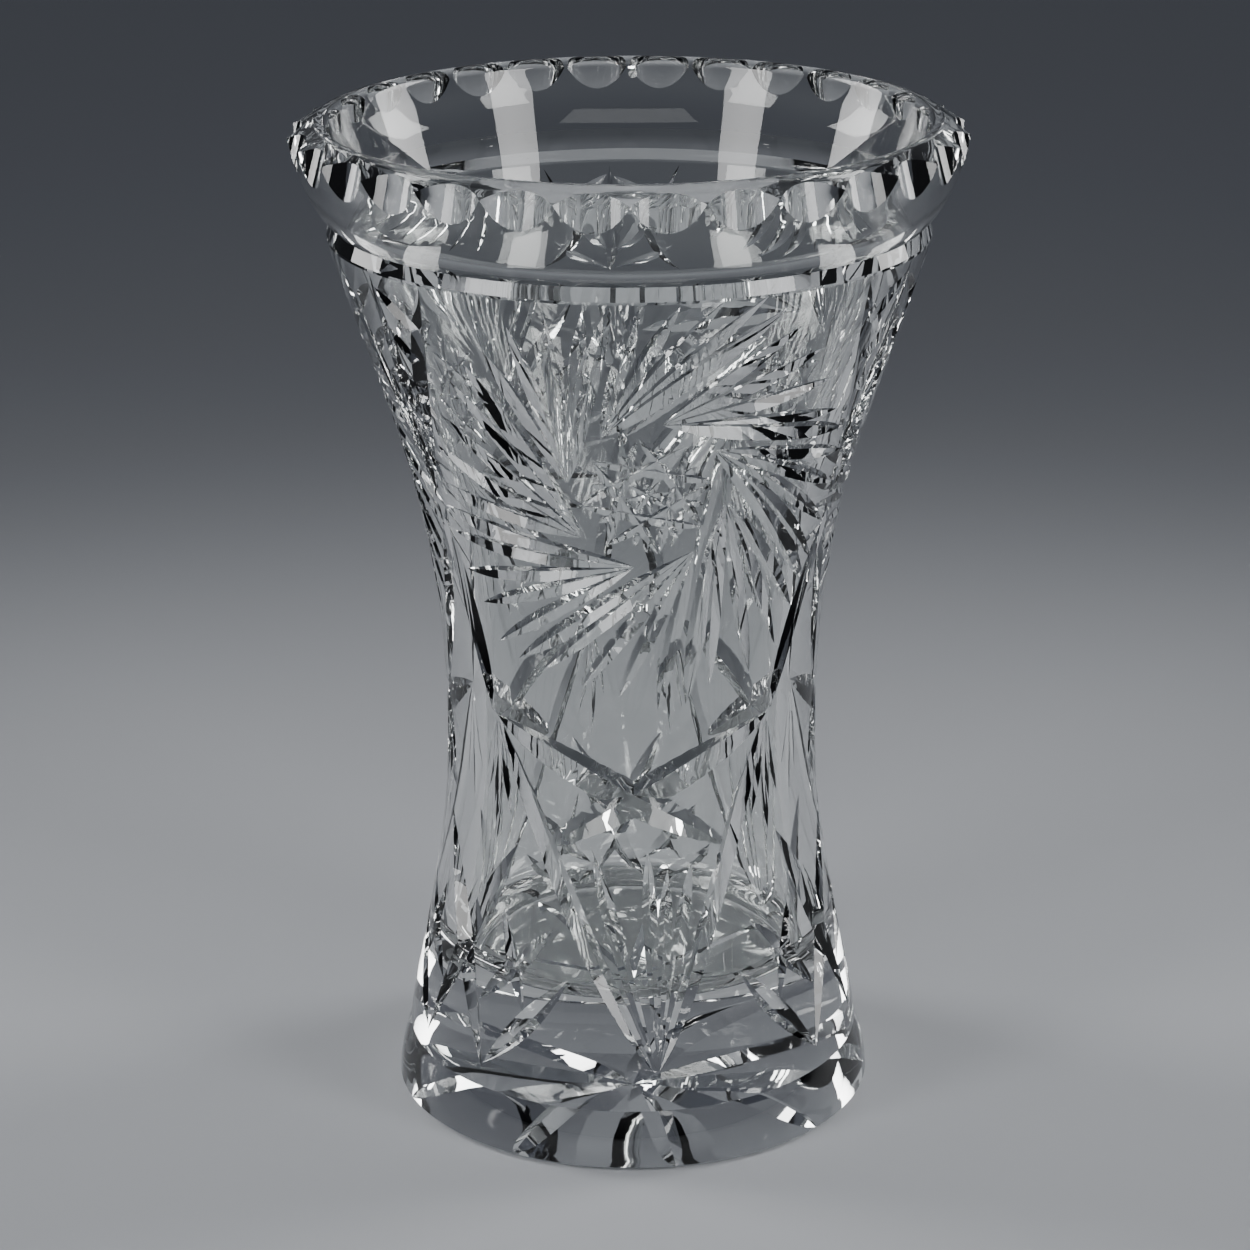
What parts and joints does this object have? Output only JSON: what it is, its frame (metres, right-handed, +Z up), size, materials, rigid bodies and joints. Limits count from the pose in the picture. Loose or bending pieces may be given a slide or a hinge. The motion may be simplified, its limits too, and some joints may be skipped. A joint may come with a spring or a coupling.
{
  "type": "vase",
  "caption": "Footed cut crystal vase with a narrow waist, a flared bowl cut with pinwheels and mitre grooves, and a thumb-cut rim, for holding cut flowers.",
  "frame": {"origin": "centre of the flat underside, on the plane the vase stands on", "axes": "+Z up along the vase's axis; -Y is the side seen in the picture"},
  "size_m": [0.1318, 0.1326, 0.2041],
  "materials": {
    "crystal": "polished colourless lead crystal"
  },
  "bodies": {
    "root": {"foot": "crystal", "base": "crystal", "stem_wall": "crystal", "lower_bowl": "crystal", "upper_bowl": "crystal", "collar": "crystal"}
  },
  "joints": []
}
